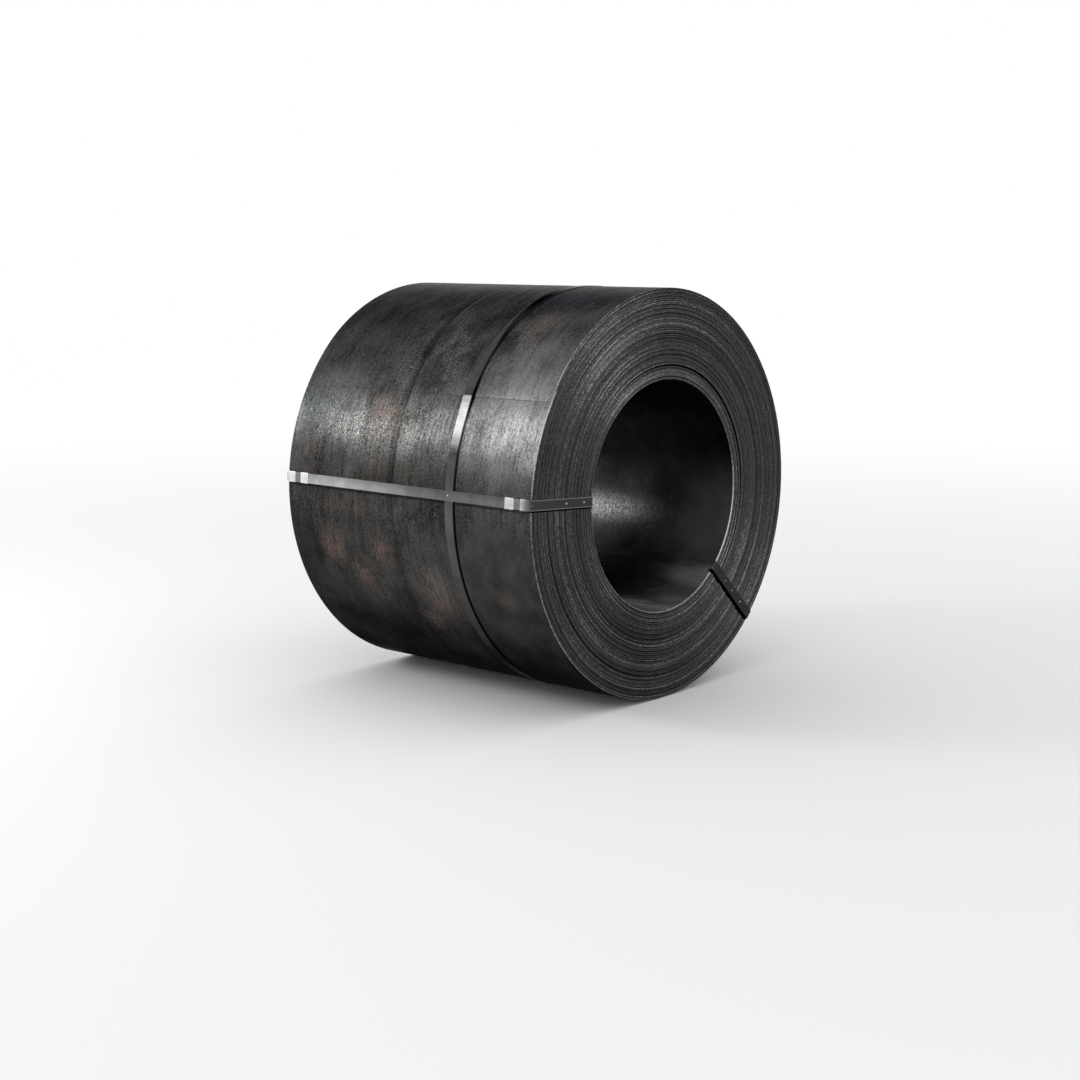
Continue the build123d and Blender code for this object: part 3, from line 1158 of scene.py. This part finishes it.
class MillScale(Nodes):
    """Mill scale of the strip's two faces: dark, grainy, streaked along the strip, with rust on the left."""

    def __init__(self, name):
        super().__init__(name)
        self.strip = self.uv("strip")
        parts = self.split(self.strip)
        self.back = parts[0]
        self.across = parts[1]
        self.in_bore = self.spread(self.back, *bore_turn_lengths)
        self.on_outside = self.spread(self.back, *outer_turn_lengths)
        self.grit = self.noise(grit_texture)
        self.blotch = self.noise(blotch_texture)
        self.sparkle = self.noise(sparkle_texture)
        self.streak = self.calm(self.noise(streak_texture), self.in_bore, 0.25)
        quiet = self.patches(self.strip, calm_patches)
        quiet = self.most(quiet, self.by_height(calm_heights, 0, 0.2))
        quiet = self.most(quiet, self.times(self.in_bore, 0.22))
        flecks = self.plus(self.times(self.grit, 0.6), self.times(self.streak, 0.4))
        self.flecks = self.calm(flecks, quiet, 0.15)
        self.grain = self.calm(self.noise(grain_texture), quiet, 0.15)

    def ground(self):
        """Clouded scale with a blue and a brown tinge, worn spots and pits."""
        tone = self.plus(self.times(self.noise(cloud_texture), 0.55), self.times(self.blotch, 0.45))
        colour = self.ramp(tone, ((0.38, scale_dark), (0.5, scale_middle), (0.63, scale_light)))
        hue = self.noise(hue_texture)
        colour = self.blend(colour, blue_scale, self.spread(hue, 0.46, 0.34), 0.5)
        colour = self.blend(colour, brown_scale, self.spread(hue, 0.54, 0.70), 0.5)
        colour = self.blend(colour, worn_colour, self.spread(self.flecks, 0.53, 0.63), 0.5)
        colour = self.blend(colour, pit_colour, self.spread(self.flecks, 0.48, 0.38), 0.75)
        colour = self.blend(colour, salt_colour, self.spread(self.grain, 0.57, 0.68), 0.4)
        self.pepper = self.times(self.spread(self.grain, 0.43, 0.32), 0.7)
        return self.blend(colour, pit_colour, self.pepper)

    def add_specks(self, colour):
        """Bright specks."""
        specks = self.times(
            self.spread(self.sparkle, 0.57, 0.65),
            self.patches(self.strip, speck_patches),
            self.spread(self.blotch, 0.42, 0.55),
        )
        return self.blend(colour, speck_colour, specks, 0.85)

    def add_rust(self, colour):
        """Rust with pale flakes, and brown drips."""
        self.rust = self.times(
            self.patches(self.strip, rust_patches),
            self.spread(self.noise(breakup_texture), 0.36, 0.50),
            self.spread(self.flecks, 0.42, 0.56, 0.65, 1.0),
        )
        rust_colour = self.ramp(self.grit, ((0.35, rust_dark), (0.65, rust_light)))
        rust_colour = self.blend(rust_colour, rust_red, self.spread(self.blotch, 0.46, 0.54), 0.8)
        colour = self.blend(colour, rust_colour, self.rust, 0.9)
        flakes = self.times(self.spread(self.sparkle, 0.56, 0.63), self.rust)
        colour = self.blend(colour, rust_flake, flakes, 0.6)
        drips = self.times(self.spread(self.streak, 0.55, 0.66), self.patches(self.strip, drip_patches))
        return self.blend(colour, drip_colour, drips, 0.6)

    def add_wear_and_painted_light(self, colour):
        """Painted highlights and lighter worn ground, stains and painted shade, painted shade on the
        underside and at the far lower end.
        """
        highlight_and_wear = self.times(
            self.patches(self.strip, highlight_and_wear_patches),
            self.spread(self.blotch, 0.25, 0.65, 0.5, 1.0),
            self.spread(self.flecks, 0.40, 0.52, 0.6, 1.0),
            self.spread(self.pepper, 0.0, 0.7, 1.0, 0.35),
        )
        colour = self.blend(colour, highlight_and_wear_colour, highlight_and_wear)
        colour = self.blend(colour, stain_and_shade_colour, self.patches(self.strip, stain_and_shade_patches))
        begun = self.spread(self.back, *[turned_length(angle) for angle in underside_shade_start_angles])
        ended = self.spread(self.back, *[turned_length(angle) for angle in underside_shade_end_angles])
        self.under = self.times(begun, ended)
        colour = self.blend(colour, underside_shade_colour, self.under, 0.92)
        self.low_far_shade = self.times(self.patches(self.strip, low_far_shade_patches), self.on_outside)
        return self.blend(colour, painted_shade_black, self.low_far_shade)

    def dust_bore(self, colour):
        """Painted highlights, painted shade, film and dust on the wall of the bore."""
        bore_highlight = self.times(self.bore_patches(bore_highlight_patches), self.in_bore)
        bore_highlight = self.times(bore_highlight, self.spread(self.grit, 0.42, 0.56, 0.3, 1.0))
        colour = self.blend(colour, bore_highlight_colour, bore_highlight)
        bore_shade = self.times(self.bore_patches(bore_shade_patches), self.in_bore)
        colour = self.blend(colour, painted_shade_black, bore_shade, 0.7)
        self.film = self.times(bore_film(self), self.in_bore)
        colour = self.blend(colour, film_colour, self.film)
        self.dust = self.times(bore_dust(self), self.in_bore, self.spread(self.grit, 0.2, 0.6, 0.6, 1.0))
        return self.blend(colour, dust_colour, self.dust)

    def add_strap_shadows(self, colour):
        """Painted shadows beside the straps."""
        at_ends = self.spread(self.size(self.across), *coil_end_faces)
        inner_turns = self.spread(self.back, *outer_turn_lengths[::-1])
        self.strap_shadow = self.times(painted_strap_shadows(self), at_ends, inner_turns)
        colour = self.blend(colour, painted_shade_black, self.strap_shadow)
        # Painted shadow beside the belly strap's near edge, on the outer turn
        line = self.band(self.across, belly_place - belly_strap_width / 2, belly_strap_shadow_line)
        line = self.times(line, self.by_height(belly_strap_shadow_heights, 0.45, 1.0), self.on_outside)
        colour = self.blend(colour, painted_shade_black, line)
        # Painted shadow below the side strap
        line = self.band(self.back, turned_length(side_strap_shadow_angle), side_strap_shadow_line)
        return self.blend(colour, painted_shade_black, line, 0.6)

    def draw_crease(self, colour):
        """Painted shade of the crease, a dark line and a wider shadow, and a painted highlight where it
        catches the light at the top.
        """
        wrapped = self.compute("MODULO", self.plus(self.back, outer_half_round), 2 * outer_half_round)
        wrapped = self.minus(wrapped, outer_half_round)
        from_crease = self.minus(self.across, self.times(wrapped, crease_slope))
        line = self.times(
            self.band(from_crease, crease_place, crease_shadow_line),
            self.on_outside,
            self.spread(self.blotch, 0.40, 0.56),
            self.by_height(crease_shadow_line_heights, 0.4, 1.0),
        )
        colour = self.blend(colour, painted_shade_black, line, 0.75)
        shadow = self.band(from_crease, crease_place, crease_shade_line)
        shadow = self.times(shadow, self.by_height(crease_shade_heights, 0.3, 1.0), self.on_outside)
        colour = self.blend(colour, painted_shade_black, shadow, 0.42)
        lit = self.band(from_crease, crease_place, crease_highlight_line)
        lit = self.times(lit, self.by_height(crease_highlight_heights))
        return self.blend(colour, crease_highlight_colour, lit, 0.7)

    def finish_surface(self):
        """Metal that is dull beneath rust and dust, with its grazing reflection darkened as painted shade on
        the underside, at the far lower end and beside the straps.
        """
        powder = self.most(self.times(self.rust, 0.5), self.most(self.dust, self.film))
        self.set("Metallic", self.spread(powder, 0.0, 1.0, 1.0, powder_metallic))
        tint = self.blend(grazing_tint, underside_shade_tint, self.under)
        tint = self.blend(tint, painted_shade_black, self.most(self.low_far_shade, self.strap_shadow), 0.8)
        self.set("Specular Tint", tint)
        rough = self.spread(self.flecks, 0.35, 0.65, *scale_roughness)
        self.set("Roughness", self.plus(rough, self.times(powder, 0.4)))
        normal = self.bump(self.grain, *grain_bump)
        normal = self.bump(self.flecks, *fleck_bump, normal)
        self.set("Normal", self.bump(self.streak, *streak_bump, normal))


def make_scale():
    """Mill scale, one layer over the other."""
    nodes = MillScale("mill_scale")
    colour = nodes.ground()
    colour = nodes.add_specks(colour)
    colour = nodes.add_rust(colour)
    colour = nodes.add_wear_and_painted_light(colour)
    colour = nodes.dust_bore(colour)
    colour = nodes.add_strap_shadows(colour)
    colour = nodes.draw_crease(colour)
    nodes.set("Base Color", colour)
    nodes.finish_surface()
    return nodes.material


def make_edge():
    """Cut edges of the strip on the two ends: each turn has its own tone with painted highlights, and painted
    shade darkens the grooves between turns.
    """
    nodes = Nodes("strip_edge")
    grain = nodes.noise(edge_grain_texture)
    marks = nodes.noise(edge_mark_texture, nodes.uv("strip"))
    cloud = nodes.noise(edge_cloud_texture)
    value = nodes.plus(nodes.times(nodes.attribute("tone"), 0.22), 0.70)
    for texture, weight in ((grain, 1.35), (marks, 0.45), (cloud, 0.3)):
        value = nodes.plus(value, nodes.times(nodes.minus(texture, 0.5), weight))
    colour = nodes.ramp(nodes.times(value, 0.5), edge_stops)
    # Painted shade in the open seams between the turns
    colour = nodes.blend(colour, painted_shade_black, nodes.attribute("groove"), 0.97)
    strap_shadow = painted_strap_shadows(nodes)
    nodes.set("Base Color", nodes.blend(colour, edge_painted_shade_black, strap_shadow))
    nodes.set("Metallic", 1.0)
    nodes.set("Specular Tint", nodes.blend(grazing_tint, painted_shade_black, strap_shadow))
    nodes.set("Roughness", nodes.spread(marks, 0.3, 0.7, *edge_roughness))
    nodes.set("Normal", nodes.bump(grain, *edge_bump))
    return nodes.material


def smear(nodes, colour):
    """Darker smears on a strap."""
    return nodes.blend(colour, strap_shade, nodes.spread(nodes.noise(strap_smear_texture), 0.56, 0.36), 0.22)


def scuff(nodes, texture, roughness):
    """Fine scuffs of a rolled surface."""
    scuffs = nodes.noise(texture)
    nodes.set("Roughness", nodes.spread(scuffs, 0.3, 0.7, *roughness))
    nodes.set("Normal", nodes.bump(scuffs, *scuff_bump))


def make_belly_steel():
    """Burnished belly strap, with painted shade along its near edge and over the whole width at the top,
    painted shade over parts of its highlight, and darker towards the top and the bottom.
    """
    nodes = Nodes("belly_strap_gunmetal")
    shifted = nodes.along
    for start, slope in belly_edge_shade_slopes:
        above = nodes.most(nodes.minus(nodes.height, axis_height + start), 0)
        shifted = nodes.minus(shifted, nodes.times(above, slope))
    belly_edge_shade = nodes.spread(shifted, belly_low.y + belly_edge_shade_softness, belly_low.y)
    belly_edge_shade_colour = nodes.blend(belly_edge_shade_dark, belly_edge_shade_light, nodes.by_height(belly_edge_shade_top_heights))
    colour = smear(nodes, belly_colour)
    # Painted shade over the top and the lower end of the highlight
    colour = nodes.blend(colour, belly_highlight_shade, nodes.band(nodes.height, axis_height, tail_highlight_shade_line), 0.55)
    colour = nodes.blend(colour, belly_highlight_shade, nodes.band(nodes.height, axis_height, lower_highlight_shade_line), 0.6)
    colour = nodes.blend(colour, belly_edge_shade_colour, belly_edge_shade)
    colour = nodes.blend(colour, strap_shade, nodes.by_height(belly_high_heights), 0.3)
    colour = nodes.blend(colour, belly_low_colour, nodes.by_height(belly_low_heights), 0.85)
    nodes.set("Base Color", colour)
    nodes.set("Metallic", 1.0)
    nodes.set("Specular Tint", nodes.blend(grazing_tint, painted_shade_black, belly_edge_shade, 0.36))
    scuff(nodes, strap_scuff_texture, belly_roughness)
    return nodes.material


def make_eye_steel():
    """Eye straps: a painted highlight bright at the far end and fading towards the near end, painted shade on
    the ends with painted highlights along their edges, darker along the upper edge and on the lower half of
    the ends, dusty in the bore.
    """
    nodes = Nodes("eye_strap_gunmetal")
    from_axis = nodes.vector("SUBTRACT", nodes.spot, bore_axis)
    at_end = nodes.spread(nodes.size(nodes.along), *eye_end_faces)
    # Painted highlight: bright at the far end, fading to the strap's own colour towards the near end
    colour = nodes.blend(eye_far_highlight_colour, eye_near_colour, nodes.spread(nodes.along, *eye_highlight_fade_ends))
    middle = outer_radius * math.sin(math.radians(side_strap_angle))
    upper_edge = nodes.by_height((middle - eye_strap_width / 4, middle + eye_strap_width / 2))
    colour = nodes.blend(colour, strap_shade, upper_edge, 0.35)
    # Painted shade on the ends
    colour = nodes.blend(colour, eye_end_shade_colour, at_end)
    # Painted highlights along the edges of the ends
    across = nodes.vector("DOT_PRODUCT", from_axis, outward(side_strap_angle + quarter_turn))
    end_edge_highlight = nodes.band(nodes.size(across), eye_strap_width / 2, eye_rim_highlight_line)
    colour = nodes.blend(colour, eye_rim_highlight_colour, nodes.times(end_edge_highlight, at_end))
    low_end = nodes.times(at_end, nodes.by_height(eye_low_heights))
    colour = nodes.blend(colour, eye_low_colour, low_end, 0.15)
    colour = smear(nodes, colour)
    radius = nodes.vector("LENGTH", nodes.vector("MULTIPLY", from_axis, (1, 0, 1)))
    in_bore = nodes.spread(radius, bore_radius + wall_softness, bore_radius)
    colour = nodes.blend(colour, scale_middle, in_bore, 0.97)
    film = nodes.times(bore_film(nodes), in_bore)
    colour = nodes.blend(colour, film_colour, film)
    dust = nodes.times(bore_dust(nodes), in_bore)
    nodes.set("Base Color", nodes.blend(colour, dust_colour, dust))
    nodes.set("Metallic", nodes.spread(nodes.most(dust, film), 0.0, 1.0, 1.0, powder_metallic))
    nodes.set("Specular Tint", grazing_tint)
    scuff(nodes, strap_scuff_texture, eye_roughness)
    return nodes.material


def make_seal_steel():
    """Bright zinc-coated seal, grey in its pressed band, darker towards the near end and darker still in a
    band at its near end.
    """
    nodes = Nodes("seal_bright_steel")
    colour = nodes.ramp(nodes.noise(seal_smear_texture), seal_stops)
    colour = nodes.blend(colour, seal_press_colour, nodes.attribute("groove"), 0.92)
    colour = nodes.blend(colour, seal_dark_colour, nodes.spread(nodes.along, *seal_darkening_ends), 0.25)
    seal_end_band = nodes.times(
        nodes.band(nodes.along, 0, seal_end_band_line),
        nodes.spread(nodes.along, *seal_end_band_ends),
    )
    nodes.set("Base Color", nodes.blend(colour, seal_dark_colour, seal_end_band, 0.92))
    nodes.set("Metallic", 1.0)
    scuff(nodes, seal_scuff_texture, seal_roughness)
    return nodes.material


def build_seals(material):
    """Two seals on each eye strap, and one on the belly strap's back."""
    seal_along = coil_half_width - seal_edge_gap - seal_length / 2
    for label, angle in (("side_eye_strap", side_strap_angle), ("lower_eye_strap", lower_strap_angle)):
        middle = eye_strap_seat(angle) + strap_thickness / 2
        for end, along in (("near", -seal_along), ("far", seal_along)):
            origin = place(middle, angle, along)
            name = f"{label}_{end}_seal"
            build_seal(name, origin, lengthwise, outward(angle), eye_strap_width, material)
    belly_middle = outer_radius + 2 * strap_clearance + seal_wall + strap_thickness / 2
    origin = place(belly_middle, belly_seal_angle, belly_place)
    run = outward(belly_seal_angle + quarter_turn)
    build_seal("belly_strap_seal", origin, run, outward(belly_seal_angle), belly_strap_width, material)


def build_floor():
    """White floor, a little darker round the coil."""
    mesh = bpy.data.meshes.new("floor")
    corners = [(-1, -1), (1, -1), (1, 1), (-1, 1)]
    mesh.from_pydata([(x * floor_reach, y * floor_reach, 0) for x, y in corners], [], [(0, 1, 2, 3)])
    floor = bpy.data.objects.new("floor", mesh)
    bpy.context.scene.collection.objects.link(floor)
    nodes = Nodes("floor_white")
    distance = nodes.vector("LENGTH", nodes.spot)
    nodes.set("Base Color", nodes.ramp(nodes.spread(distance, *floor_fade), floor_stops))
    nodes.set("Roughness", 1.0)
    nodes.set("Specular IOR Level", 0.0)
    mesh.materials.append(nodes.material)


def light_room():
    """White room all round."""
    world = bpy.data.worlds.new("studio")
    bpy.context.scene.world = world
    world.use_nodes = True
    background = world.node_tree.nodes["Background"]
    background.inputs["Color"].default_value = grey(1)
    background.inputs["Strength"].default_value = 1.0


def stand(thing, spot, side, up, back):
    """Puts a camera or a lamp into the room, turned away from its back direction."""
    bpy.context.scene.collection.objects.link(thing)
    thing.matrix_world = Matrix.Translation(spot) @ Matrix((side, up, back)).transposed().to_4x4()


def place_camera():
    """Camera of the photograph. Returns its place."""
    right = Vector((math.cos(camera_azimuth), math.sin(camera_azimuth), 0))
    level = Vector((math.sin(camera_azimuth), -math.cos(camera_azimuth), 0))
    back = level * math.cos(camera_elevation) + upward * math.sin(camera_elevation)
    up = back.cross(right)
    camera_data = bpy.data.cameras.new("photo_camera")
    camera_data.sensor_width = sensor_width
    camera_data.lens = focal_pixels * sensor_width / photo_width
    camera = bpy.data.objects.new("photo_camera", camera_data)
    offset = back * camera_distance - right * camera_side - up * camera_rise
    camera_place = bore_axis + offset * outer_diameter
    stand(camera, camera_place, right, up, back)
    bpy.context.scene.camera = camera
    return camera_place


def mirrored(camera_place, angle, along):
    """Place in the room that a spot of the outer turn mirrors to the camera."""
    spot = place(outer_radius, angle, along)
    view = (camera_place - spot).normalized()
    normal = outward(angle)
    return spot + (2 * view.dot(normal) * normal - view) * key_distance


def add_key_box(camera_place):
    """Soft lamp that lies where the outer turn mirrors it to the camera."""
    near = mirrored(camera_place, key_near_angle, -coil_half_width)
    far = mirrored(camera_place, key_far_angle, coil_half_width)
    centre = (near + far) / 2
    back = (centre - place(outer_radius, (key_near_angle + key_far_angle) / 2, 0)).normalized()
    up = back.cross(far - near).normalized()
    lamp = bpy.data.lights.new("key_box", "AREA")
    lamp.shape = "RECTANGLE"
    lamp.size = (far - near).length
    lamp.size_y = key_height
    lamp.energy = key_radiance * math.pi * lamp.size * lamp.size_y
    key_box = bpy.data.objects.new("key_box", lamp)
    stand(key_box, centre, up.cross(back), up, back)
    key_box.visible_camera = False


build_coil()
belly_steel = make_belly_steel()
eye_steel = make_eye_steel()
seal_steel = make_seal_steel()
build_belly_strap(belly_steel)
build_eye_strap("side_eye_strap", side_strap_angle, eye_steel, seal_steel, side_pips, True)
build_eye_strap("lower_eye_strap", lower_strap_angle, eye_steel, seal_steel, lower_pips, False)
build_seals(seal_steel)
build_floor()
light_room()
add_key_box(place_camera())
bpy.context.scene.view_settings.view_transform = "Standard"
